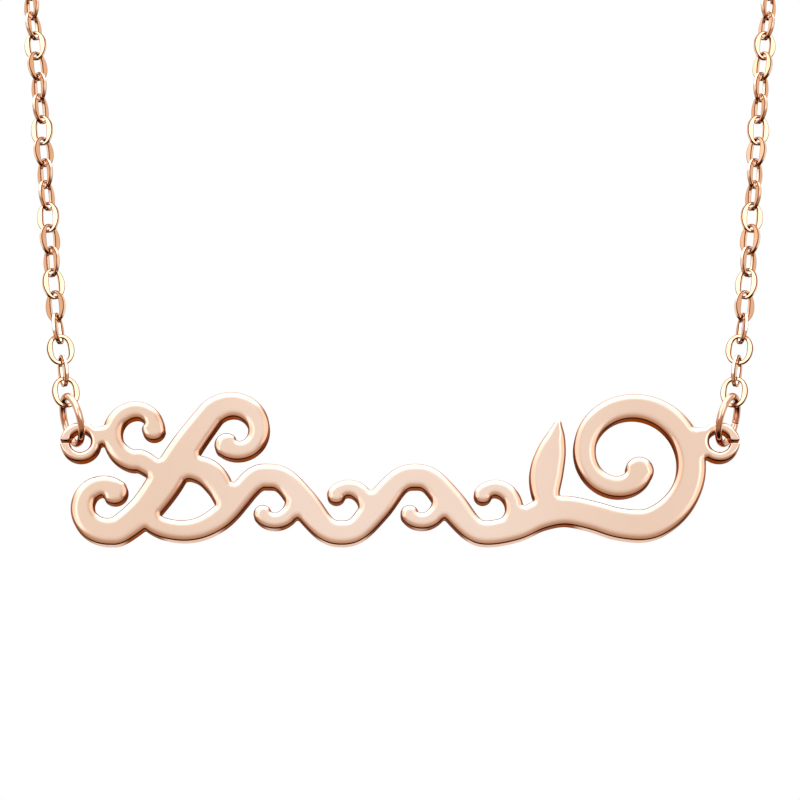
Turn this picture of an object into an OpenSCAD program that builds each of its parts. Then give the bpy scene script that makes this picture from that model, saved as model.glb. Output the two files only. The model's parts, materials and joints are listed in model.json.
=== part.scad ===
/* [Nameplate] */
// Width of the plate over its two eyes
plate_w = 45.2; // [36:0.2:56]
// Height of the plate, from the lowest stroke to the top of the end curl
plate_h = 10.1; // [8.5:0.1:13]
// Thickness of the sheet that the plate is sawn from
plate_t = 1.2; // [0.8:0.05:1.4]
// Widest stroke of the scrollwork
stroke_w = 2.15; // [1.8:0.05:2.4]
// Radius left by the saw in the crotches of the scrollwork
crotch_r = 0.14; // [0.08:0.02:0.2]

/* [Eyes and jump rings] */
// Hole in each eye of the plate
eye_hole_d = 1.4; // [1.3:0.05:1.6]
// Metal left round the hole of an eye
eye_rim = 0.64; // [0.5:0.02:0.8]
// Slit in the outer side of each eye
eye_slit = 0.22; // [0.14:0.02:0.3]
// Outer diameter of the jump rings
ring_od = 3.7; // [3.5:0.1:4.2]
// Wire of the jump rings
ring_wire = 0.46; // [0.4:0.02:0.5]
// Turn of a jump ring away from front to back
ring_turn = 21; // [15:1:26]
// Lean of a jump ring towards the chain above it
ring_lean = 19; // [12:1:22]
// Clearance between a jump ring and the link that it hangs on
ring_gap = 0.17; // [0.14:0.01:0.22]

/* [Chain links] */
// Length of a link
link_l = 2.24; // [2.14:0.01:2.32]
// Width of a link
link_w = 1.6; // [1.5:0.02:1.7]
// Width of the hole in a link
link_hole_w = 0.72; // [0.68:0.02:0.78]
// Metal at each end of a link
link_end = 0.235; // [0.22:0.005:0.26]
// Thickness of a link
link_t = 0.26; // [0.22:0.01:0.28]
// Length of the rounder links near the jump rings
round_l = 2.18; // [2.1:0.02:2.3]
// Width of the rounder links
round_w = 1.86; // [1.8:0.02:2]
// Width of the hole in a rounder link
round_hole_w = 1.06; // [1:0.02:1.1]
// Metal at each end of a rounder link
round_end = 0.3; // [0.26:0.01:0.34]
// Clearance between two links that hang in each other
link_gap = 0.2; // [0.17:0.005:0.22]

/* [Clasp] */
// Outer diameter of the clasp's ring
clasp_od = 5.5; // [5:0.1:7]
// Thickness of the clasp's ring
clasp_wire = 1.1; // [0.9:0.05:1.3]
// Outer diameter of the small eye soldered to the clasp
clasp_eye_od = 2.4; // [2.2:0.1:3]
// Outer diameter of the ring that the clasp closes on
end_ring_od = 3.2; // [3:0.1:4]
// Wire of the clasp's eye and of that ring
end_wire = 0.5; // [0.4:0.02:0.56]

/* [Worn form] */
// Depth of the loop from the back of the neck to the plate
loop_depth = 93; // [88:1:106]
// Width of the loop at the sides of the neck
loop_w = 106; // [96:1:116]
// Height of the back of the neck above the eyes of the plate
loop_drop = 74; // [68:1:84]

/* [Hidden] */

// Colours of the plated metal
face_colour = "#E8CDBE";
wire_colour = "#D9A27E";
chain_colour = "#D08A50";

// Places: the origin is where the clasp lies on the back of the neck
eye_od = eye_hole_d + 2 * eye_rim;
eye_x = (plate_w - eye_od) / 2;
front_y = -loop_depth;
eye_z = -loop_drop;
nape_y = clasp_wire / 2;

// Grid of the scrollwork: steps across are 210ths of the distance from the middle to an eye, and steps up are
// hundredths of the plate's height, so both are about 0.1 mm. Widths are hundredths of the widest stroke.
across_steps = 210;
up_steps = 100;
width_steps = 100;

// Columns of a stroke's rows
col_x = 0;
col_z = 1;
col_w = 2;

// Columns of a volute: its centre, its first and last radius, the angle it starts at, how far it winds
// (clockwise if negative), its first and last width, and the width of the ball at its end
vol_x = 0;
vol_z = 1;
vol_r = 2;
vol_r_end = 3;
vol_from = 4;
vol_wind = 5;
vol_w = 6;
vol_w_end = 7;
vol_ball = 8;

// Tall S-scroll at the left: the volute at its foot, its stem, and the volute at its head
foot_volute = [-191.5, -41, 19.5, 9, -62, -240, 88, 52, 80];
tall_stem = [[-167, -45, 96], [-153, -25, 106], [-141, -4, 96]];
head_volute = [-109, 6, 20.5, 9.5, 150, -272, 86, 48, 74];
// Volute beside the left eye, and the point where it leaves the tall stem
eye_volute = [-171, 7.5, 20.5, 9, -85, -267, 68, 46, 72];
eye_branch = [[-155, -32, 56], [-158.5, -21, 62]];
// Leaf that hangs from the tall stem
stem_leaf = [[-150, -22, 50], [-138, -17.5, 74], [-127, -20, 84], [-118.5, -29, 82], [-114, -41, 62]];
// Running vine: what it starts with, its volutes, its widths on a turn and on a slope, and what it ends with
vine_start = [[-172, -45, 60], [-156, -57, 62], [-135, -59, 66], [-116, -49, 74]];
vine_volutes = 4;
vine_pitch = 48;
vine_from = -86;
vine_level = -42;
vine_r = 19;
vine_w_turn = 76;
vine_w_slope = 88;
vine_end = [[76, -57, 82], [91, -49, 92], [108, -46, 90], [126, -49.5, 90], [143, -54.5, 94]];
// Large volute at the right
end_volute = [149, -12, 45, 11, -75, 392, 96, 52, 88];
// Bud before the large volute
bud = [[99, -47, 56], [95.5, -35, 86], [96, -21, 104], [99.5, -7, 90], [102.5, 4, 58], [104, 12, 24]];
// Necks that join the eyes to the scrollwork
left_neck = [[-201, 4, 50], [-190, 6, 54]];
right_neck = [[201, 4, 50], [190, 4, 56]];
function reversed(rows) = [for (i = [len(rows) - 1:-1:0]) rows[i]];

// Width along a volute: it tapers evenly, and swells into the ball over its last part
ball_from = 0.7;
function volute_width(v, share) = v[vol_w] + share * (v[vol_w_end] - v[vol_w])
    + (v[vol_ball] - v[vol_w_end]) * pow(max(0, share - ball_from) / (1 - ball_from), 2);

// Rows along a volute, which winds inwards from its first radius to its last, more and more tightly
volute_step = 20;
volute_tightening = 1.5;
function volute_rows(v) = let (count = ceil(abs(v[vol_wind]) / volute_step))
    [for (k = [0:count]) let (
        share = k / count,
        angle = v[vol_from] + share * v[vol_wind],
        r = v[vol_r] + pow(share, volute_tightening) * (v[vol_r_end] - v[vol_r])
    ) [v[vol_x] + r * cos(angle), v[vol_z] + r * sin(angle), volute_width(v, share)]];

// Volutes of the vine, above and below its stem in turn: the angle that each starts at and how far it winds,
// its last radius, and its first and last width with that of its ball
vine_sides = [70, -190];
vine_inner_r = 7.5;
vine_widths = [60, 46, 56];
function vine_volute(k) = let (side = k % 2 == 0 ? 1 : -1) concat(
    [vine_from + k * vine_pitch, vine_level, vine_r, vine_inner_r],
    side * vine_sides,
    vine_widths);

// Stem of the vine: over and under its volutes in turn, thin on the turns and thick on the slopes between
turn_angles = [125, 90, 55];
vine_turns = [for (k = [0:vine_volutes - 1]) let (
        x = vine_from + k * vine_pitch,
        side = k % 2 == 0 ? 1 : -1,
        last = k == vine_volutes - 1
    ) each concat(
        [for (angle = last ? [turn_angles[0], turn_angles[1]] : turn_angles)
            [x + vine_r * cos(angle), vine_level + side * vine_r * sin(angle), vine_w_turn]],
        last ? [] : [[x + vine_pitch / 2, vine_level, vine_w_slope]])];
vine_stem = concat(vine_start, vine_turns, vine_end, volute_rows(end_volute));

// Point on a smooth curve through four neighbours
function curve_point(a, b, c, d, t) =
    0.5 * ((2 * b) + (c - a) * t + (2 * a - 5 * b + 4 * c - d) * t * t
    + (3 * b - a - 3 * c + d) * t * t * t);

// Smooth curve through every row of a list, with the given steps between rows
function smooth(rows, steps) = let (
        last = len(rows) - 1,
        padded = concat([2 * rows[0] - rows[1]], rows, [2 * rows[last] - rows[last - 1]])
    ) concat(
        [for (i = [0:last - 1]) for (k = [0:steps - 1])
            curve_point(padded[i], padded[i + 1], padded[i + 2], padded[i + 3], k / steps)],
        [rows[last]]);

function unit(v) = v / norm(v);

// Direction of a curve at one of its points
function heading(points, i) =
    unit(points[min(i + 1, len(points) - 1)] - points[max(i - 1, 0)]);

// Table row in millimetres: place across, place up, half width
function sized(row) = [
    row[col_x] / across_steps * eye_x,
    row[col_z] / up_steps * plate_h,
    row[col_w] / width_steps * stroke_w / 2];

function across(row) = [row[0], row[1]];

// Sharpness of a curve's bend at one of its points, positive for a bend to the left
function bend(points, i) = i == 0 || i == len(points) - 1 ? 0
    : let (a = unit(points[i] - points[i - 1]), b = unit(points[i + 1] - points[i]))
    2 * cross(a, b) / norm(points[i + 1] - points[i - 1]);

// Half width that a side of a stroke can have without folding over itself in a bend
inner_share = 0.96;
function side_width(centres, i, half, side) = let (k = bend(centres, i) * side)
    k > 0 ? min(half, inner_share / k) : half;

// Edge of a stroke on one side, side = 1 or -1
function stroke_edge(rows, centres, side) = [for (i = [0:len(rows) - 1])
    let (h = heading(centres, i))
    centres[i] + side * side_width(centres, i, rows[i][2], side) * [-h[1], h[0]]];

// Half round end of a stroke, turning clockwise from the given angle
function round_end_points(centre, r, from) = [for (a = [15:15:165])
    centre + r * [cos(from - a), sin(from - a)]];

stroke_steps = 4;

// Outline of a stroke of changing width with round ends
function stroke_outline(table) = let (
        rows = smooth([for (row = table) sized(row)], stroke_steps),
        centres = [for (row = rows) across(row)],
        last = len(rows) - 1,
        start_h = heading(centres, 0),
        end_h = heading(centres, last),
        start_a = atan2(start_h[1], start_h[0]),
        end_a = atan2(end_h[1], end_h[0])
    ) concat(
        stroke_edge(rows, centres, 1),
        round_end_points(centres[last], rows[last][2], end_a + 90),
        [for (i = [last:-1:0]) stroke_edge(rows, centres, -1)[i]],
        round_end_points(centres[0], rows[0][2], start_a - 90));

module stroke(table) polygon(stroke_outline(table));

module tall_scroll() {
    stroke(concat(reversed(volute_rows(foot_volute)), tall_stem, volute_rows(head_volute)));
    stroke(concat(eye_branch, volute_rows(eye_volute)));
    stroke(stem_leaf);
}

module vine() {
    stroke(vine_stem);
    for (k = [0:vine_volutes - 1]) stroke(volute_rows(vine_volute(k)));
    stroke(bud);
}

// Scrollwork with its crotches rounded as a saw and a polishing mop leave them
module scrollwork() offset(r = -crotch_r, $fn = 24) offset(delta = crotch_r) {
    tall_scroll();
    vine();
    stroke(left_neck);
    stroke(right_neck);
    for (side = [-1, 1]) translate([side * eye_x, 0]) circle(d = eye_od, $fn = 64);
}

module eye_cut() {
    translate([0, 0, -plate_t]) cylinder(h = 3 * plate_t, d = eye_hole_d, $fn = 64);
    translate([0, -eye_slit / 2, -plate_t]) cube([eye_od, eye_slit, 3 * plate_t]);
}

module nameplate() color(face_colour) translate([0, front_y + plate_t / 2, eye_z]) rotate([90, 0, 0])
    difference() {
        linear_extrude(plate_t) scrollwork();
        translate([eye_x, 0, 0]) eye_cut();
        mirror([1, 0, 0]) translate([eye_x, 0, 0]) eye_cut();
    }

// Jump rings: each hangs on the last link of its chain and passes through an eye of the plate
ring_r = (ring_od - ring_wire) / 2;
ring_up = [sin(ring_lean), 0, cos(ring_lean)];
pass_shift = [0.1, 0, 0.05];
ring_centre = [eye_x, front_y, eye_z] + pass_shift + ring_r * ring_up;

module wire_ring(od, wire) rotate_extrude($fn = 96)
    translate([(od - wire) / 2, 0]) circle(d = wire, $fn = 32);

module jump_ring() color(wire_colour) {
    translate(ring_centre) rotate([0, ring_lean, 0]) rotate([0, 0, -ring_turn]) rotate([0, 90, 0])
        wire_ring(ring_od, ring_wire);
}

module right_jump_ring() jump_ring();

module left_jump_ring() mirror([1, 0, 0]) jump_ring();

// Distance from the middle of a link to the inside of its end
link_reach = link_l / 2 - link_end;
round_reach = round_l / 2 - round_end;

// Clasp at the back of the neck, placed so that both chains end at the same distance from the middle
clasp_overlap = 0.4;
clasp_x = (clasp_eye_od - clasp_overlap + clasp_wire + link_gap - end_ring_od + end_wire) / 2;
clasp_eye_x = clasp_x - (clasp_od + clasp_eye_od) / 2 + clasp_overlap;
end_ring_x = clasp_x + clasp_od / 2 - clasp_wire - link_gap + end_ring_od / 2 - end_wire;
chain_end_x = end_ring_x + end_ring_od / 2 - end_wire - link_gap + round_reach;

module clasp() color(wire_colour) {
    translate([clasp_x, nape_y, 0]) rotate([90, 0, 0]) wire_ring(clasp_od, clasp_wire);
    translate([clasp_eye_x, nape_y, 0]) wire_ring(clasp_eye_od, end_wire);
}

module clasp_end_ring() color(wire_colour) {
    translate([end_ring_x, nape_y, 0]) wire_ring(end_ring_od, end_wire);
}

// Route of the chain at one side, from the jump ring to the back of the neck, as hundredths of half the
// loop's width, of its depth and of its drop, between two ends that are worked out
chain_route = [
    [44.1, -99.9, -85.5], [45.9, -99.6, -73], [47.8, -99, -60.5], [51.6, -96, -45], [61.5, -88, -30],
    [78, -73, -16], [94, -55, -6.5], [100, -38, -0.5], [94, -21.5, 2], [76, -9, 2.6], [51, -2.5, 1.8],
    [28, 0, 0.6]];

// The first link stands a little inside the ring's wire, so that the ring can swing to both sides in its hole
first_inset = 0.05;
chain_start = ring_centre + ring_r * ring_up
    + [-first_inset, 0, round_reach - ring_gap - ring_wire / 2];
route_points = concat(
    [chain_start],
    [for (p = chain_route) [p[0] * loop_w / 200, p[1] * loop_depth / 100, p[2] * loop_drop / 100]],
    [[chain_end_x, nape_y, 0]]);
route_steps = 12;
route = smooth(route_points, route_steps);

// Length along the route up to each of its points
route_length = [for (i = 0, sum = 0; i < len(route);
    sum = sum + (i + 1 < len(route) ? norm(route[i + 1] - route[i]) : 0), i = i + 1) sum];
full_length = route_length[len(route) - 1];
function place(s) = [for (k = [0:2])
    lookup(s, [for (i = [0:len(route) - 1]) [route_length[i], route[i][k]]])];
direction_reach = link_l / 3;
function direction(s) =
    unit(place(min(s + direction_reach, full_length)) - place(max(s - direction_reach, 0)));

// Links: the first and third from the jump ring and the one next to the clasp are rounder
near_round = [0, 2];
link_count = ceil((full_length - 2 * round_reach) / (2 * link_reach - link_gap)) + 1;
function is_round(i) = len(search(i, near_round)) > 0 || i == link_count - 1;
function reach(i) = is_round(i) ? round_reach : link_reach;
nominal = [for (i = 0, sum = 0; i < link_count;
    sum = sum + reach(i) + reach(i + 1) - link_gap, i = i + 1) sum];
station = [for (s = nominal) s * full_length / nominal[link_count - 1]];

// Turn of each link about the chain: chosen ones by the jump ring, then a pattern of four
near_turns = [16, -66, 15, 74, -34, 28, -48, 44];
turn_pattern = [-18, 60, -50, 44];
function chosen_turn(i) = i < len(near_turns) ? near_turns[i]
    : turn_pattern[(i - len(near_turns)) % len(turn_pattern)];

// Facing of each link before its turn, carried along the route without twist
function square_to(v, t) = unit(v - (v * t) * t);
headings = [for (s = station) direction(s)];
facings = [for (i = 0, f = square_to([0, -1, 0], headings[0]); i < link_count;
    f = i + 1 < link_count ? square_to(f, headings[i + 1]) : f, i = i + 1) f];

// Slow twist past the shown part, so that the last link lies flat against the neck
twist_from = 24;
last_heading = headings[link_count - 1];
last_facing = facings[link_count - 1];
flat_facing = square_to([0, 1, 0], last_heading);
flat_turn = atan2(-flat_facing * cross(last_heading, last_facing), flat_facing * last_facing);
twist_raw = flat_turn - chosen_turn(link_count - 1);
twist = twist_raw - 180 * round(twist_raw / 180);
function link_turn(i) = chosen_turn(i) + twist * max(0, i - twist_from) / (link_count - 1 - twist_from);

// Flat oval link with its length along Y
side_bulge = 1.28;
module oval(l, w) intersection() {
    circle(d = l, $fn = 64);
    side_arcs(side_bulge * l / 2, w / 2);
}
module side_arcs(r, half) intersection() {
    translate([half - r, 0]) circle(r, $fn = 64);
    translate([r - half, 0]) circle(r, $fn = 64);
}
hole_corner = 0.1;
round_hole_corner = 0.22;
module link_hole(l, w, corner) polygon([
    [w / 2, l / 2 - corner], [w / 2 - corner, l / 2], [corner - w / 2, l / 2], [-w / 2, l / 2 - corner],
    [-w / 2, corner - l / 2], [corner - w / 2, -l / 2], [w / 2 - corner, -l / 2], [w / 2, corner - l / 2]]);

module flat_link(l, w, hole_w, metal, corner)
    translate([0, 0, -link_t / 2]) linear_extrude(link_t) difference() {
        oval(l, w);
        link_hole(l - 2 * metal, hole_w, corner);
    }

module placed_link(i) {
    t = headings[i];
    f = facings[i];
    w = cross(t, f);
    a = link_turn(i);
    wide = w * cos(a) + f * sin(a);
    face = f * cos(a) - w * sin(a);
    p = place(station[i]);
    multmatrix([
        [wide[0], t[0], face[0], p[0]],
        [wide[1], t[1], face[1], p[1]],
        [wide[2], t[2], face[2], p[2]],
        [0, 0, 0, 1]])
        if (is_round(i)) flat_link(round_l, round_w, round_hole_w, round_end, round_hole_corner);
        else flat_link(link_l, link_w, link_hole_w, link_end, hole_corner);
}

module chain_links() color(chain_colour) for (i = [0:link_count - 1]) placed_link(i);

module right_chain() chain_links();

module left_chain() mirror([1, 0, 0]) chain_links();

nameplate();
left_jump_ring();
right_jump_ring();
left_chain();
right_chain();
clasp();
clasp_end_ring();
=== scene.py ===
import json
import math

import bmesh
import bpy
import numpy as np
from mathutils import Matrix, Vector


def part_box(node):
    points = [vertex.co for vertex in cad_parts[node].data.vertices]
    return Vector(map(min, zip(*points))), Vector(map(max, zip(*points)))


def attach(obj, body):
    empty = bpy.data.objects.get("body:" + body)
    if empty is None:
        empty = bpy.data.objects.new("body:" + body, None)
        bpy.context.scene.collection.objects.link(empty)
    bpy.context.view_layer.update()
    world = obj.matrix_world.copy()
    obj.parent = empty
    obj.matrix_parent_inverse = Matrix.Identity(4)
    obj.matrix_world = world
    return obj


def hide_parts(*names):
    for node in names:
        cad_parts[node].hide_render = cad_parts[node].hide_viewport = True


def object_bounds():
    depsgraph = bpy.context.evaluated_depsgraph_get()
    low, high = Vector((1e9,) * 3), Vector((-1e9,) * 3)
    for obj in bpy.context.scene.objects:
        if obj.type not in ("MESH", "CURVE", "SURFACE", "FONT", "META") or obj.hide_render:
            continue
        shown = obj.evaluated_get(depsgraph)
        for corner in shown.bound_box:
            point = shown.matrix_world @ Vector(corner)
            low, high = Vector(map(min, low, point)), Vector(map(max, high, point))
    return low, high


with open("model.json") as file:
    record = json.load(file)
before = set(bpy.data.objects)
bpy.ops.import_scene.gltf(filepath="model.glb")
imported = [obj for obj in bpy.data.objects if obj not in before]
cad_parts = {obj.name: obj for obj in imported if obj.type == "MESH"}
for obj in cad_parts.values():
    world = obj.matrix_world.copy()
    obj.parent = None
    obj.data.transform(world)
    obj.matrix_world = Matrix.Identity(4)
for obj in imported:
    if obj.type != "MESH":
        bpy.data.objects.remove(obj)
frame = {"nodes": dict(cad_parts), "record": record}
cad_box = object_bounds()

# Nameplate
# One plate of 1.2 mm sterling sheet, sawn through by hand along the scrollwork, with an eye at each end. The
# face is plated rose gold with a fine satin and its arrises are rolled over by the polishing mop. The sawn
# walls are a copper tone, with painted shade making them darkest inside the narrow piercings.

MM = 0.001
SAME_POINT = 1e-7            # corners that are closer than this are one point
PLATE_STEP = 0.1 * MM        # spacing of the points along the outline
CURVE_STEPS = 12             # points of the curve between two corners of the outline, before they are spaced
LEAST_AROUND = 24            # fewest points around an opening
FACE_ROLL = 0.52 * MM        # how far the rounded arris reaches into the face
FACE_DROP = 0.22 * MM        # how far it falls towards the wall
BACK_ROLL = 0.16 * MM        # the same two on the back, which is only deburred
BACK_DROP = 0.12 * MM
ROLL_SHARE = 0.85            # most of the local half width that a rounded arris may take
ROLL_STEPS = 10              # rings of the rounded arris


def node_triangles(node):
    """Corners of a node's triangles as an array (triangle, corner, xyz)."""
    mesh = frame["nodes"][node].data
    points = np.empty(len(mesh.vertices) * 3)
    mesh.vertices.foreach_get("co", points)
    mesh.calc_loop_triangles()
    corners = np.empty(len(mesh.loop_triangles) * 3, int)
    mesh.loop_triangles.foreach_get("vertices", corners)
    return points.reshape(-1, 3)[corners].reshape(-1, 3, 3)


def merged(triangles):
    """Triangles with shared corners: the different points, and each triangle's three indices into them."""
    keys = np.round(triangles.reshape(-1, 3) / SAME_POINT).astype(np.int64)
    _, first, back = np.unique(keys, axis=0, return_index=True, return_inverse=True)
    return triangles.reshape(-1, 3)[first], back.reshape(-1, 3)


def face_loops(node):
    """Closed outlines of a plate's front face, metal on the left: the edges of only one front triangle."""
    points, faces = merged(node_triangles(node))
    front = points[:, 1].min()
    faces = faces[(points[faces][:, :, 1] < front + 10 * SAME_POINT).all(axis=1)]
    edges = np.concatenate([faces[:, [0, 1]], faces[:, [1, 2]], faces[:, [2, 0]]])
    owned = {tuple(edge) for edge in edges.tolist()}
    after = {a: b for a, b in owned if (b, a) not in owned}
    loops = []
    while after:
        start, at = after.popitem()
        loop = [start]
        while at != start:
            loop.append(at)
            at = after.pop(at)
        loops.append(points[loop][:, [0, 2]])
    return loops


def smooth_loop(loop):
    """Closed curve through a loop's points: Catmull-Rom with a parameter that grows by each chord's root
    (centripetal, so it doesn't overshoot), then points at an even spacing along it."""
    gaps = np.linalg.norm(np.roll(loop, -1, axis=0) - loop, axis=1)
    loop = loop[gaps > SAME_POINT]
    p0, p1, p2, p3 = (np.roll(loop, k, axis=0)[:, None] for k in (1, 0, -1, -2))
    t1 = np.sqrt(np.linalg.norm(p1 - p0, axis=2, keepdims=True))
    t2 = t1 + np.sqrt(np.linalg.norm(p2 - p1, axis=2, keepdims=True))
    t3 = t2 + np.sqrt(np.linalg.norm(p3 - p2, axis=2, keepdims=True))
    t = t1 + (t2 - t1) * np.linspace(0, 1, CURVE_STEPS, endpoint=False)[None, :, None]
    a1 = (t1 - t) / t1 * p0 + t / t1 * p1
    a2 = (t2 - t) / (t2 - t1) * p1 + (t - t1) / (t2 - t1) * p2
    a3 = (t3 - t) / (t3 - t2) * p2 + (t - t2) / (t3 - t2) * p3
    b1 = (t2 - t) / t2 * a1 + t / t2 * a2
    b2 = (t3 - t) / (t3 - t1) * a2 + (t - t1) / (t3 - t1) * a3
    fine = ((t2 - t) / (t2 - t1) * b1 + (t - t1) / (t2 - t1) * b2).reshape(-1, 2)
    closed = np.concatenate([fine, fine[:1]])
    along = np.concatenate([[0], np.cumsum(np.linalg.norm(np.diff(closed, axis=0), axis=1))])
    count = max(LEAST_AROUND, int(round(along[-1] / PLATE_STEP)))
    at = np.arange(count) * along[-1] / count
    return np.stack([np.interp(at, along, closed[:, k]) for k in (0, 1)], axis=1)


def outward(loop):
    """Unit normals of a closed loop, away from the metal on its left."""
    tangent = np.roll(loop, -1, axis=0) - np.roll(loop, 1, axis=0)
    normal = np.stack([tangent[:, 1], -tangent[:, 0]], axis=1)
    return normal / np.linalg.norm(normal, axis=1, keepdims=True)


def touching_radius(points, normals):
    """Radius of the largest circle that touches each point p on its normal n's side and holds no other
    point: the least of |q - p|^2 / (2 (q - p) . n) over all points q ahead of the normal. It is worked out
    for some 500 points at a time."""
    radius = np.empty(len(points))
    for part in np.array_split(np.arange(len(points)), 1 + len(points) // 500):
        apart = points[None] - points[part, None]
        ahead = np.maximum((apart * normals[part, None]).sum(axis=2), 1e-9)
        square = (apart ** 2).sum(axis=2)
        radius[part] = np.where(square > 0, square / (2 * ahead), np.inf).min(axis=1)
    return radius


def spread_along(values, reach, pick):
    """Values of a closed loop, each replaced by the pick (min or mean) over its neighbours within reach."""
    return pick(np.stack([np.roll(values, k) for k in range(-reach, reach + 1)]), axis=0)


plate_loops = [smooth_loop(loop) for loop in face_loops("nameplate")]
plate_points = np.concatenate(plate_loops)
plate_outward = np.concatenate([outward(loop) for loop in plate_loops])
loop_ends = np.cumsum([len(loop) for loop in plate_loops])

# Widths are evened out along each outline: the narrowest within 3 points each way, then the mean within 5
NARROW_REACH, MEAN_REACH = 3, 5
WIDEST_GAP = 4 * MM          # a wider gap counts as this wide


def evened(widths):
    """Widths at the plate's points, evened out along each outline by itself."""
    parts = [spread_along(part, NARROW_REACH, np.min) for part in np.split(widths, loop_ends[:-1])]
    return np.concatenate([spread_along(part, MEAN_REACH, np.mean) for part in parts])


half_widths = evened(touching_radius(plate_points, -plate_outward))
gap_widths = evened(np.minimum(touching_radius(plate_points, plate_outward), WIDEST_GAP))
plate_low, plate_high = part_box("nameplate")


def plate_ring(roll, drop, turn, side):
    """One ring of the plate's rounded arris, and its normals. With turn from 0 at the wall to a quarter turn
    at the face, the outline is moved inwards by roll (1 - cos turn) and lies drop (1 - sin turn) below the
    face, and the normal has drop cos turn outwards and roll sin turn out of the face. Side is -1 in front
    and 1 at the back."""
    roll = np.minimum(roll, ROLL_SHARE * half_widths)
    face = plate_low.y if side < 0 else plate_high.y
    flat = plate_points - plate_outward * (roll * (1 - math.cos(turn)))[:, None]
    depth = np.full(len(flat), face - side * drop * (1 - math.sin(turn)))
    lean = drop * math.cos(turn) * plate_outward
    normal = np.stack([lean[:, 0], side * roll * math.sin(turn), lean[:, 1]], axis=1)
    return (np.stack([flat[:, 0], depth, flat[:, 1]], axis=1),
            normal / np.linalg.norm(normal, axis=1, keepdims=True))


turns = np.linspace(0, math.pi / 2, ROLL_STEPS)
rings = ([plate_ring(FACE_ROLL, FACE_DROP, turn, -1) for turn in turns[::-1]]
         + [plate_ring(BACK_ROLL, BACK_DROP, turn, 1) for turn in turns])
ring_size = len(plate_points)
here = np.arange(ring_size)
following = np.concatenate([np.roll(np.arange(start, end), -1)
                            for start, end in zip([0, *loop_ends[:-1]], loop_ends)])
plate_quads = np.concatenate([
    np.stack([k * ring_size + here, (k + 1) * ring_size + here,
              (k + 1) * ring_size + following, k * ring_size + following], axis=1)
    for k in range(len(rings) - 1)])

plate_mesh = bpy.data.meshes.new("nameplate_sawn")
plate_mesh.from_pydata(np.concatenate([points for points, _ in rings]).tolist(), [], plate_quads.tolist())
shell = bmesh.new()
shell.from_mesh(plate_mesh)
for first, way in ((0, -1), ((len(rings) - 1) * ring_size, 1)):
    rim = [edge for edge in shell.edges
           if edge.is_boundary and all(first <= end.index < first + ring_size for end in edge.verts)]
    bmesh.ops.triangle_fill(shell, edges=rim, use_beauty=True, normal=(0, way, 0))
bmesh.ops.recalc_face_normals(shell, faces=shell.faces)
shell.to_mesh(plate_mesh)
shell.free()
plate_mesh.shade_smooth()
plate_mesh.normals_split_custom_set_from_vertices(np.concatenate([normals for _, normals in rings]).tolist())


def mark(mesh, name, values):
    """Give a mesh one number for each of its points, which its material reads by name."""
    mesh.attributes.new(name, "FLOAT", "POINT").data.foreach_set("value", values.astype(np.float32))


# The marks on the plate: how far a point lies from the face, at 0, to the wall, at 1; how narrow the gap
# beside it is, from 0 to 1, which sets the painted shade in gaps; and how far its outline faces sideways,
# which sets the painted shade on the side arrises
FULL_SHADE_GAP = 1.7 * MM        # half width of a gap whose walls get the full painted shade
NO_SHADE_GAP = 3.2 * MM          # and of one whose walls get none
LEFT_SHADE_SHARE = 0.9             # how much facing left counts as sideways for the painted shade, against facing right
mark(plate_mesh, "wall", np.repeat(np.cos([*turns[::-1], *turns]), ring_size))
# painted shade: 1 in the narrowest gaps, falling to 0 in open ones
gap_shade = np.clip((NO_SHADE_GAP - gap_widths) / (NO_SHADE_GAP - FULL_SHADE_GAP), 0, 1)
mark(plate_mesh, "gap_shade", np.tile(gap_shade, len(rings)))
to_right = plate_outward[:, 0]
mark(plate_mesh, "sideways", np.tile(np.where(to_right > 0, to_right, -LEFT_SHADE_SHARE * to_right), len(rings)))


def linear(colour):
    """An sRGB hex colour as linear red, green, blue and alpha."""
    parts = np.array([int(colour[i:i + 2], 16) / 255 for i in (1, 3, 5)])
    parts = np.where(parts <= 0.04045, parts / 12.92, ((parts + 0.055) / 1.055) ** 2.4)
    return (*parts.tolist(), 1)


def add(tree, kind, settings=None, **links):
    """A new node of a kind, with its settings, and each input linked to a socket or set to a value. An input
    is given by its name, or by its number after an underscore where several have one name."""
    made = tree.nodes.new(kind)
    for name, value in (settings or {}).items():
        setattr(made, name, value)
    for name, value in links.items():
        socket = made.inputs[int(name[1:]) if name[0] == "_" else name.replace("_", " ")]
        if isinstance(value, bpy.types.NodeSocket):
            tree.links.new(value, socket)
        else:
            socket.default_value = value
    return made


def new_material(name):
    """An empty material: its node tree and its output node."""
    material = bpy.data.materials.new(name)
    material.use_nodes = True
    material.node_tree.nodes.clear()
    return material, material.node_tree, material.node_tree.nodes.new("ShaderNodeOutputMaterial")


# Rose-gold plate on a satin face: warm pink metal, softened by a grain of about 0.05 mm, which is drawn at
# 0.125 mm so that it shows. Painted shade makes the face a little darker towards the ends and tan on the
# arrises that face sideways, and draws a fine brown line at the edge of the walls. The walls are a pale
# copper tan, which painted shade turns brown inside narrow gaps.
SATIN_FACE = linear("#EFDFD4")
# painted shade: the face's colour towards its ends, which its random clouds also lean to
FACE_CLOUD_AND_END_SHADE = linear("#E6CFBE")
# painted shade: tan colour on the arrises that face sideways
SIDE_ARRIS_SHADE = linear("#B88E76")
# painted shade: a fine brown line where the rolled arris meets the wall
ARRIS_SHADE_LINE = linear("#9A5530")
OPEN_WALL = linear("#E2BDA4")
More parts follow.
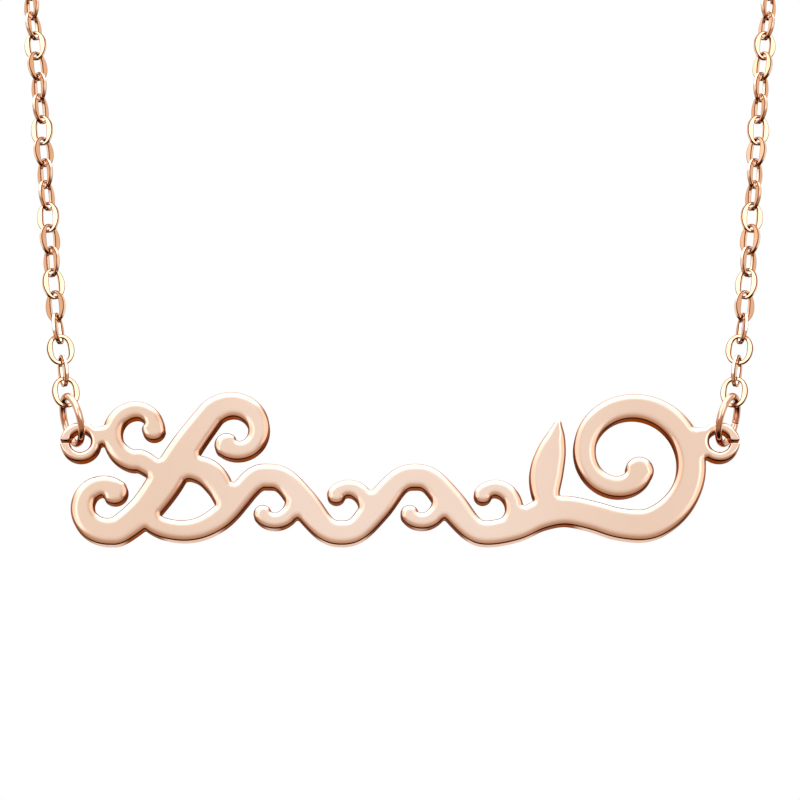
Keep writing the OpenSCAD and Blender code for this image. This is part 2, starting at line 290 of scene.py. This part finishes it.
# painted shade: the brown of the walls inside narrow gaps
GAP_SHADE_WALL = linear("#A54C1C")
CLEAR_GLANCE = linear("#FFFFFF")    # what clean metal reflects at a glancing angle
GAP_SHADE_GLANCE = linear("#BCA697")  # and what the wall of a narrow piercing does, dimmed as painted shade
END_SHADE_FROM, END_SHADE_TO = 6 * MM, 19 * MM
CLOUD = 6.25 * MM            # size of the plating's faint clouds, and how much of the painted end shade's colour they bring
CLOUD_SHARE = 0.35
SIDE_SHADE_FROM, SIDE_SHADE_TO = 0.55, 0.95     # by the sideways mark
ROLL_FROM, ROLL_TO = 0.1, 0.5       # and these by the wall mark
SHADE_LINE_FROM, SHADE_LINE_TO = 0.82, 0.92
WALL_FROM, WALL_TO = 0.97, 0.998
GRAIN = 0.125 * MM
GRAIN_DEPTH = 0.02 * MM
GRAIN_STRENGTH = 0.03
FACE_ROUGH, WALL_ROUGH = 0.2, 0.14

satin, tree, out = new_material("satin_rose_gold_plate")
where = add(tree, "ShaderNodeTexCoord").outputs["Object"]
wall_mark = add(tree, "ShaderNodeAttribute", {"attribute_name": "wall"}).outputs["Fac"]
gap_shade_mark = add(tree, "ShaderNodeAttribute", {"attribute_name": "gap_shade"}).outputs["Fac"]
side_shade_mark = add(tree, "ShaderNodeAttribute", {"attribute_name": "sideways"}).outputs["Fac"]
place = add(tree, "ShaderNodeSeparateXYZ", Vector=where)
from_middle = add(tree, "ShaderNodeMath", {"operation": "ABSOLUTE"}, _0=place.outputs["X"]).outputs["Value"]
# painted shade: the face grows darker towards both ends of the plate
end_shade = add(tree, "ShaderNodeMapRange", {"interpolation_type": "SMOOTHSTEP"}, Value=from_middle,
             From_Min=END_SHADE_FROM, From_Max=END_SHADE_TO).outputs["Result"]
cloud = add(tree, "ShaderNodeTexNoise", Vector=where, Scale=1 / CLOUD, Detail=2.0).outputs["Fac"]
cloud_and_end_shade = add(tree, "ShaderNodeMath", {"operation": "MULTIPLY_ADD"}, _0=cloud, _1=CLOUD_SHARE,
             _2=end_shade).outputs["Value"]
face = add(tree, "ShaderNodeMix", {"data_type": "RGBA"}, _0=cloud_and_end_shade, _6=SATIN_FACE, _7=FACE_CLOUD_AND_END_SHADE).outputs[2]
# painted shade on the rolled arrises where the outline faces sideways
side_shade = add(tree, "ShaderNodeMapRange", {"interpolation_type": "SMOOTHSTEP"}, Value=side_shade_mark,
              From_Min=SIDE_SHADE_FROM, From_Max=SIDE_SHADE_TO).outputs["Result"]
on_roll = add(tree, "ShaderNodeMapRange", {"interpolation_type": "SMOOTHSTEP"}, Value=wall_mark,
              From_Min=ROLL_FROM, From_Max=ROLL_TO).outputs["Result"]
side_arris_shade = add(tree, "ShaderNodeMath", {"operation": "MULTIPLY"}, _0=side_shade, _1=on_roll).outputs["Value"]
rolled = add(tree, "ShaderNodeMix", {"data_type": "RGBA"}, _0=side_arris_shade, _6=face, _7=SIDE_ARRIS_SHADE).outputs[2]
# painted shade: a fine brown line near the wall's edge, by the wall mark
on_shade_line = add(tree, "ShaderNodeMapRange", {"interpolation_type": "SMOOTHSTEP"}, Value=wall_mark,
              From_Min=SHADE_LINE_FROM, From_Max=SHADE_LINE_TO).outputs["Result"]
edge_shaded = add(tree, "ShaderNodeMix", {"data_type": "RGBA"}, _0=on_shade_line, _6=rolled, _7=ARRIS_SHADE_LINE).outputs[2]
# painted shade: the walls go from their own tan to brown as their gap narrows
wall_and_gap_shade = add(tree, "ShaderNodeMix", {"data_type": "RGBA"}, _0=gap_shade_mark, _6=OPEN_WALL,
                _7=GAP_SHADE_WALL).outputs[2]
on_wall = add(tree, "ShaderNodeMapRange", {"interpolation_type": "SMOOTHSTEP"}, Value=wall_mark,
              From_Min=WALL_FROM, From_Max=WALL_TO).outputs["Result"]
colour = add(tree, "ShaderNodeMix", {"data_type": "RGBA"}, _0=on_wall, _6=edge_shaded, _7=wall_and_gap_shade).outputs[2]
# painted shade: the walls of narrow gaps also reflect less at a glancing angle
on_gap_shade = add(tree, "ShaderNodeMath", {"operation": "MULTIPLY"}, _0=on_wall, _1=gap_shade_mark).outputs["Value"]
glancing = add(tree, "ShaderNodeMix", {"data_type": "RGBA"}, _0=on_gap_shade, _6=CLEAR_GLANCE,
               _7=GAP_SHADE_GLANCE).outputs[2]
grain = add(tree, "ShaderNodeTexNoise", Vector=where, Scale=1 / GRAIN, Detail=3.0).outputs["Fac"]
bump = add(tree, "ShaderNodeBump", Height=grain, Strength=GRAIN_STRENGTH,
           Distance=GRAIN_DEPTH).outputs["Normal"]
rough = add(tree, "ShaderNodeMapRange", Value=wall_mark, To_Min=FACE_ROUGH,
            To_Max=WALL_ROUGH).outputs["Result"]
metal = add(tree, "ShaderNodeBsdfPrincipled", Base_Color=colour, Metallic=1.0, Roughness=rough, Normal=bump,
            Specular_Tint=glancing)
tree.links.new(metal.outputs["BSDF"], out.inputs["Surface"])

plate_mesh.materials.append(satin)
plate = bpy.data.objects.new("nameplate_sawn", plate_mesh)
bpy.context.scene.collection.objects.link(plate)
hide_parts("nameplate")
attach(plate, "plate_and_rings")

# Jump rings
# Two rings of 0.46 mm round wire, bent shut by hand, so that each has a fine butt joint. They are polished
# and plated with the plate, and hang its eyes on the chain.

RING_STEPS = (160, 24)       # around the ring and around the wire
JOINT_WIDTH = 0.05 * MM      # width and depth of the groove at the butt joint
JOINT_DEPTH = 0.035 * MM
JOINT_CROWD = 0.9            # how much the points around the ring crowd at the joint, from 0 to 1
JOINT_ANGLES = {"left_jump_ring": 4.4, "right_jump_ring": 4.9}   # radians around each ring, on its far side


def surface_spread(triangles):
    """A surface's centre, and its spread about that as a matrix, both weighed by area."""
    middle = triangles.mean(axis=1)
    one_side, next_side = triangles[:, 1] - triangles[:, 0], triangles[:, 2] - triangles[:, 0]
    area = np.linalg.norm(np.cross(one_side, next_side), axis=1)
    centre = (middle * area[:, None]).sum(axis=0) / area.sum()
    return centre, (middle - centre).T @ ((middle - centre) * area[:, None])


def ring_axes(node):
    """A round ring's centre, unit axis, middle radius and wire radius, from its surface: the axis is the
    direction of least spread."""
    triangles = node_triangles(node)
    centre, spread = surface_spread(triangles)
    axis = np.linalg.eigh(spread)[1][:, 0]
    from_centre = triangles.reshape(-1, 3) - centre
    flat = np.linalg.norm(from_centre - np.outer(from_centre @ axis, axis), axis=1)
    return centre, axis, (flat.max() + flat.min()) / 2, (flat.max() - flat.min()) / 2


def jump_ring(centre, axis, radius, wire, joint_at):
    """Points and faces of a ring of wire: around the ring by u and around the wire by v, where the points
    crowd at the joint by u - crowd sin u, and the wire is thinned there by a bell curve."""
    around, across = RING_STEPS
    u = np.arange(around) * 2 * math.pi / around
    u = joint_at + u - JOINT_CROWD * np.sin(u)
    from_joint = (np.remainder(u - joint_at + math.pi, 2 * math.pi) - math.pi) * radius / JOINT_WIDTH
    wire = wire - JOINT_DEPTH * np.exp(-from_joint ** 2)[:, None]
    v = np.arange(across) * 2 * math.pi / across
    side = np.cross(axis, (0, 1, 0))
    side /= np.linalg.norm(side)
    out_way = np.outer(np.cos(u), side) + np.outer(np.sin(u), np.cross(axis, side))
    reach = radius + wire * np.cos(v)[None]
    points = centre + out_way[:, None] * reach[..., None] + (wire * np.sin(v)[None])[..., None] * axis
    return points.reshape(-1, 3), grid_faces(around, across)


def grid_faces(rows, columns):
    """Quads of a grid that closes on itself both ways."""
    i, j = np.meshgrid(np.arange(rows), np.arange(columns), indexing="ij")
    right, below = (j + 1) % columns, (i + 1) % rows
    return np.stack([i * columns + j, below * columns + j, below * columns + right, i * columns + right],
                    axis=2).reshape(-1, 4)


def smooth_piece(name, points, faces, material, normals=None):
    """A new smooth object from points and faces, facing outwards, with its own point normals if given."""
    mesh = bpy.data.meshes.new(name)
    mesh.from_pydata(points.tolist(), [], faces.tolist())
    solid = bmesh.new()
    solid.from_mesh(mesh)
    bmesh.ops.recalc_face_normals(solid, faces=solid.faces)
    solid.to_mesh(mesh)
    solid.free()
    mesh.shade_smooth()
    if normals is not None:
        mesh.normals_split_custom_set_from_vertices(normals.tolist())
    mesh.materials.append(material)
    piece = bpy.data.objects.new(name, mesh)
    bpy.context.scene.collection.objects.link(piece)
    return piece


# Rose-gold plate on polished wire: clear reflections in warm pink, a little cloudy with wear, and hairline
# scratches of about 0.02 mm, drawn at 0.2 mm so that they show
WIRE_BRIGHT = linear("#E4C2AE")
WIRE_WORN = linear("#CDA38B")
WIRE_CLOUD = 1.43 * MM
WIRE_SMOOTH, WIRE_ROUGH = 0.07, 0.15
HAIRLINE = 0.2 * MM
HAIRLINE_DEPTH = 0.02 * MM
HAIRLINE_STRENGTH = 0.06

polished, tree, out = new_material("polished_rose_gold_wire")
where = add(tree, "ShaderNodeTexCoord").outputs["Object"]
cloud = add(tree, "ShaderNodeTexNoise", Vector=where, Scale=1 / WIRE_CLOUD, Detail=3.0).outputs["Fac"]
colour = add(tree, "ShaderNodeMix", {"data_type": "RGBA"}, _0=cloud, _6=WIRE_BRIGHT, _7=WIRE_WORN).outputs[2]
rough = add(tree, "ShaderNodeMapRange", Value=cloud, To_Min=WIRE_SMOOTH, To_Max=WIRE_ROUGH).outputs["Result"]
scratch = add(tree, "ShaderNodeTexNoise", Vector=where, Scale=1 / HAIRLINE, Detail=4.0).outputs["Fac"]
bump = add(tree, "ShaderNodeBump", Height=scratch, Strength=HAIRLINE_STRENGTH,
           Distance=HAIRLINE_DEPTH).outputs["Normal"]
metal = add(tree, "ShaderNodeBsdfPrincipled", Base_Color=colour, Metallic=1.0, Roughness=rough, Normal=bump)
tree.links.new(metal.outputs["BSDF"], out.inputs["Surface"])

for node, joint_at in JOINT_ANGLES.items():
    piece = smooth_piece(node + "_wire", *jump_ring(*ring_axes(node), joint_at), polished)
    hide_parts(node)
    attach(piece, "plate_and_rings")

# Chain
# Flat cable chain: ovals of wire, soldered shut and then rolled flat, so that each link has a broad bright
# face and a thin wall. They are longer than wide, but the first and third from each jump ring, and the last,
# are rounder.

LINK_STEPS = 56              # around the link
OVAL_BLEND = 14              # how tightly the oval's end and side arcs meet
SIDE_BULGE = 1.28            # radius of the side arcs as a share of half the length
CORNER = 0.075 * MM          # radius of the section's corners
# Turns around a link's section: three over each of its four corners, from the outer wall over the face
CORNER_TURNS = np.radians(90 * np.arange(4)[:, None] + np.array([0, 45, 90]))
# Each kind of link: its hole's width, the metal at its end, and how square the hole is (2 is an ellipse)
LONG_LINK = (0.72 * MM, 0.235 * MM, 2.9)
ROUND_LINK = (1.06 * MM, 0.30 * MM, 2.8)
ROUND_FROM = 1.75 * MM       # a link wider than this is a round one


def link_islands(node):
    """The separate links of a chain node: for each, its centre, its axes along, across and out of its face,
    and its length, width and thickness. Links are told apart by spreading the lowest corner number over
    triangles that share corners, and the axes are those of the surface's spread."""
    points, faces = merged(node_triangles(node))
    label = np.arange(len(points))
    while True:
        spread = label.copy()
        np.minimum.at(spread, faces.reshape(-1), np.repeat(label[faces].min(axis=1), 3))
        if (spread == label).all():
            break
        label = spread
    for island in np.unique(label):
        own = points[faces[label[faces[:, 0]] == island]]
        centre, spread = surface_spread(own)
        axes = np.linalg.eigh(spread)[1][:, ::-1].T
        spans = (own.reshape(-1, 3) - centre) @ axes.T
        axes[2] = np.cross(axes[0], axes[1])
        yield centre, axes, spans.max(axis=0) - spans.min(axis=0)


def link_shape(length, width, thick, hole_width, end, hole_square):
    """Points and normals of one flat oval link: along it, across it and out of its face. By the angle u
    around the link, its outer radius is the smoothed least of a circle of the link's length and its two side
    arcs, and its hole's is a squared ellipse. Each corner of the section between them is a quarter circle,
    centred on the outline moved into the metal by the corner's radius."""
    u = np.arange(LINK_STEPS) * 2 * math.pi / LINK_STEPS
    side_radius = SIDE_BULGE * length / 2
    side_centre = width / 2 - side_radius
    side_arc = side_centre * np.abs(np.sin(u)) + np.sqrt(side_radius ** 2 - (side_centre * np.cos(u)) ** 2)
    outer = ((length / 2) ** -OVAL_BLEND + side_arc ** -OVAL_BLEND) ** (-1 / OVAL_BLEND)
    inner = ((np.abs(np.cos(u)) / (length / 2 - end)) ** hole_square
             + (np.abs(np.sin(u)) / (hole_width / 2)) ** hole_square) ** (-1 / hole_square)
    around = np.stack([np.cos(u), np.sin(u)], axis=1)
    outer, inner = outer[:, None] * around, inner[:, None] * around
    outer_way, inner_way = outward(outer), outward(inner)
    points, normals = [], []
    for turns in CORNER_TURNS:
        outside = math.cos(turns.mean()) > 0
        way = outer_way if outside else inner_way
        edge = outer - CORNER * way if outside else inner + CORNER * way
        height = math.copysign(thick / 2 - CORNER, math.sin(turns.mean()))
        for v in turns:
            points.append(np.c_[edge + CORNER * math.cos(v) * way,
                                np.full(LINK_STEPS, height + CORNER * math.sin(v))])
            normals.append(np.c_[math.cos(v) * way, np.full(LINK_STEPS, math.sin(v))])
    return np.stack(points, axis=1).reshape(-1, 3), np.stack(normals, axis=1).reshape(-1, 3)


# Rose-gold plate on rolled links: bright cream where a face turns to the light, and tan where it turns away.
# The walls are painted paler than the faces as a painted highlight, and a brown line of painted shade is
# drawn on the edges between.
LINK_PALE = linear("#F1CAA8")
LINK_DEEP = linear("#EABA90")
# painted shade: the brown line on the edges between face and wall
LINK_EDGE_SHADE = linear("#66290C")
# painted highlight: the walls' pale, nearly white colour
LINK_WALL_HIGHLIGHT = linear("#FFE9D0")
EDGE_SHADE_FROM, EDGE_SHADE_TO = 0.05, 0.28     # where the painted shade line lies, by the links' wall mark, which is 0 on the face and 1 on the wall
WALL_HIGHLIGHT_FROM, WALL_HIGHLIGHT_TO = 0.8, 0.99      # and by the same mark, where the walls' painted highlight begins and is full
LINK_CLOUD = 1.11 * MM
LINK_SMOOTH, LINK_ROUGH = 0.12, 0.22
ROLL_MARK = 0.167 * MM       # the rolls' marks of about 0.02 mm are drawn at this size, so that they show
ROLL_MARK_DEPTH = 0.02 * MM
ROLL_MARK_STRENGTH = 0.08

rolled_link, tree, out = new_material("rolled_rose_gold_chain")
where = add(tree, "ShaderNodeTexCoord").outputs["Object"]
cloud = add(tree, "ShaderNodeTexNoise", Vector=where, Scale=1 / LINK_CLOUD, Detail=2.0).outputs["Fac"]
face = add(tree, "ShaderNodeMix", {"data_type": "RGBA"}, _0=cloud, _6=LINK_PALE, _7=LINK_DEEP).outputs[2]
wall_mark = add(tree, "ShaderNodeAttribute", {"attribute_name": "wall"}).outputs["Fac"]
# painted shade: the brown line at the edges, by the wall mark
on_edge_shade = add(tree, "ShaderNodeMapRange", Value=wall_mark, From_Min=EDGE_SHADE_FROM,
              From_Max=EDGE_SHADE_TO).outputs["Result"]
edge_shaded = add(tree, "ShaderNodeMix", {"data_type": "RGBA"}, _0=on_edge_shade, _6=face, _7=LINK_EDGE_SHADE).outputs[2]
# painted highlight: the walls' pale colour, by the wall mark
on_wall = add(tree, "ShaderNodeMapRange", Value=wall_mark, From_Min=WALL_HIGHLIGHT_FROM,
              From_Max=WALL_HIGHLIGHT_TO).outputs["Result"]
colour = add(tree, "ShaderNodeMix", {"data_type": "RGBA"}, _0=on_wall, _6=edge_shaded, _7=LINK_WALL_HIGHLIGHT).outputs[2]
rough = add(tree, "ShaderNodeMapRange", Value=cloud, To_Min=LINK_SMOOTH, To_Max=LINK_ROUGH).outputs["Result"]
marks = add(tree, "ShaderNodeTexNoise", Vector=where, Scale=1 / ROLL_MARK, Detail=3.0).outputs["Fac"]
bump = add(tree, "ShaderNodeBump", Height=marks, Strength=ROLL_MARK_STRENGTH,
           Distance=ROLL_MARK_DEPTH).outputs["Normal"]
metal = add(tree, "ShaderNodeBsdfPrincipled", Base_Color=colour, Metallic=1.0, Roughness=rough, Normal=bump)
tree.links.new(metal.outputs["BSDF"], out.inputs["Surface"])

for node in ("left_chain", "right_chain"):
    chain_points, chain_normals = [], []
    for centre, axes, (length, width, thick) in link_islands(node):
        link_kind = ROUND_LINK if width > ROUND_FROM else LONG_LINK
        points, normals = link_shape(length, width, thick, *link_kind)
        chain_points.append(centre + points @ axes)
        chain_normals.append(normals @ axes)
    link_faces = grid_faces(LINK_STEPS, CORNER_TURNS.size)
    chain_faces = np.concatenate([link_faces + k * len(points) for k in range(len(chain_points))])
    piece = smooth_piece(node + "_links", np.concatenate(chain_points), chain_faces, rolled_link,
                         np.concatenate(chain_normals))
    mark(piece.data, "wall", np.tile(np.abs(np.cos(CORNER_TURNS)).ravel(), LINK_STEPS * len(chain_points)))
    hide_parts(node)
    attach(piece, "chain_loop")

# Clasp
# A plain ring clasp of thick round stock with a small eye soldered to it, and the plain ring of the other
# end that it closes on. Both are polished and plated like the jump rings.

for node in ("clasp", "clasp_end_ring"):
    shown = frame["nodes"][node]
    shown.data.materials.clear()
    shown.data.materials.append(polished)

# Studio
# A pale floor below the hanging necklace, a broad soft light overhead and a light tent in front, with the
# camera square to the plate and 14 degrees below its normal, as in the photograph.

PHOTO_WIDTH = 800            # pixels of the photograph, which is square
PIXELS_PER_MM = 15
EYE_ROW = 441                # pixel row of the plate's two eyes in it
EYE_BELOW_PIVOT = 2.58 * MM  # height of the eyes below the axis that the plate swings on
CAMERA_LOW = math.radians(14)
CAMERA_AWAY = 0.2
SENSOR = 36                  # width of the camera's sensor in millimetres, as its focal length is
FLOOR_DROP = 0.12
FLOOR_RADIUS = 0.9
FLOOR_SIDES = 96

view_width = PHOTO_WIDTH / PIXELS_PER_MM * MM
eye_below_middle = (EYE_ROW - PHOTO_WIDTH / 2) / PIXELS_PER_MM * MM
eye_height = frame["record"]["behaviour"]["joints"][0]["pos_m"][2] - EYE_BELOW_PIVOT
aim = np.array([0, plate_low.y, eye_height + eye_below_middle / math.cos(CAMERA_LOW)])
lens = bpy.data.cameras.new("camera")
lens.sensor_width = SENSOR
lens.lens = SENSOR * CAMERA_AWAY / view_width
lens.clip_start = CAMERA_AWAY / 20
camera = bpy.data.objects.new("camera", lens)
camera.location = aim - CAMERA_AWAY * np.array([0, math.cos(CAMERA_LOW), math.sin(CAMERA_LOW)])
camera.rotation_euler = (math.pi / 2 + CAMERA_LOW, 0, 0)
bpy.context.scene.collection.objects.link(camera)
bpy.context.scene.camera = camera

# Matt white plaster, under the middle of the loop, which the polished metal doesn't mirror
loop_middle = (cad_box[0][1] + cad_box[1][1]) / 2
bpy.ops.mesh.primitive_circle_add(vertices=FLOOR_SIDES, radius=FLOOR_RADIUS, fill_type="NGON",
                                  location=(0, loop_middle, plate_low.z - FLOOR_DROP))
floor = bpy.context.object
floor.name = "floor"
floor.visible_glossy = False
plaster, tree, out = new_material("matt_white_floor")
matt = add(tree, "ShaderNodeBsdfPrincipled", Base_Color=linear("#F1EEEA"), Roughness=0.9)
tree.links.new(matt.outputs["BSDF"], out.inputs["Surface"])
floor.data.materials.append(plaster)

# What stands around the piece in the warm room, each laid over the ones before it: its direction, the
# cosines of the angles from that where it begins and where it is full, its colour, and its strength
ROOM = ("#C08A58", 0.75)
SURROUNDINGS = [
    ((0, -0.45, -0.89), 0.3, 0.75, "#D6A688", 0.85),     # the table below the camera
    ((0, 0.42, -0.91), 0.44, 0.76, "#240A03", 1.0),      # the dark corner under the piece
    ((0.75, 0.3, -0.58), 0.7, 0.9, "#3A1206", 1.0),      # and the one to its right
    ((0, 0.7, 0.71), 0.7, 0.85, "#A86A44", 1.0),         # the tan screen above and behind it
    ((0, 0.97, -0.24), 0.93, 0.985, "#F8E6DA", 1.05),    # the backdrop that the camera looks at
    ((0, -0.9, 0.43), 0.3, 0.75, "#E3BCA2", 0.92),       # the tan rim of the tent in front
    ((0, -0.9, 0.43), 0.66, 0.96, "#FFF4EC", 1.0),       # the tent
    ((-0.93, 0.28, 0.24), 0.7, 0.82, "#FFEBDD", 0.95),   # a pale panel at each side
    ((0.93, 0.28, 0.24), 0.7, 0.82, "#FFEBDD", 0.95),
    ((-0.59, -0.77, 0.24), 0.89, 0.96, "#FFFFFF", 2.5),  # a strip light at each side of the tent
    ((0.59, -0.77, 0.24), 0.89, 0.96, "#FFFFFF", 2.5),
    ((-0.15, -0.15, 0.98), 0.5, 0.82, "#FFFFFF", 2.7),   # the broad soft light overhead
]


def lit(colour, strength):
    """A light's colour at its strength."""
    return (*(strength * part for part in linear(colour)[:3]), 1)


world = bpy.data.worlds.new("light_tent")
world.use_nodes = True
tree = world.node_tree
tree.nodes.clear()
way = add(tree, "ShaderNodeTexCoord").outputs["Generated"]
light = lit(*ROOM)
for direction, begins, full, colour, strength in SURROUNDINGS:
    near = add(tree, "ShaderNodeVectorMath", {"operation": "DOT_PRODUCT"}, _0=way,
               _1=direction).outputs["Value"]
    share = add(tree, "ShaderNodeMapRange", {"interpolation_type": "SMOOTHSTEP"}, Value=near,
                From_Min=begins, From_Max=full).outputs["Result"]
    light = add(tree, "ShaderNodeMix", {"data_type": "RGBA"}, _0=share, _6=light,
                _7=lit(colour, strength)).outputs[2]
# The camera itself sees plain white behind the piece
seen = add(tree, "ShaderNodeLightPath").outputs["Is Camera Ray"]
light = add(tree, "ShaderNodeMix", {"data_type": "RGBA"}, _0=seen, _6=light, _7=lit("#FFFFFF", 1)).outputs[2]
sky = add(tree, "ShaderNodeBackground", Color=light)
tree.links.new(sky.outputs["Background"], tree.nodes.new("ShaderNodeOutputWorld").inputs["Surface"])
bpy.context.scene.world = world

bpy.context.scene.view_settings.view_transform = "Standard"
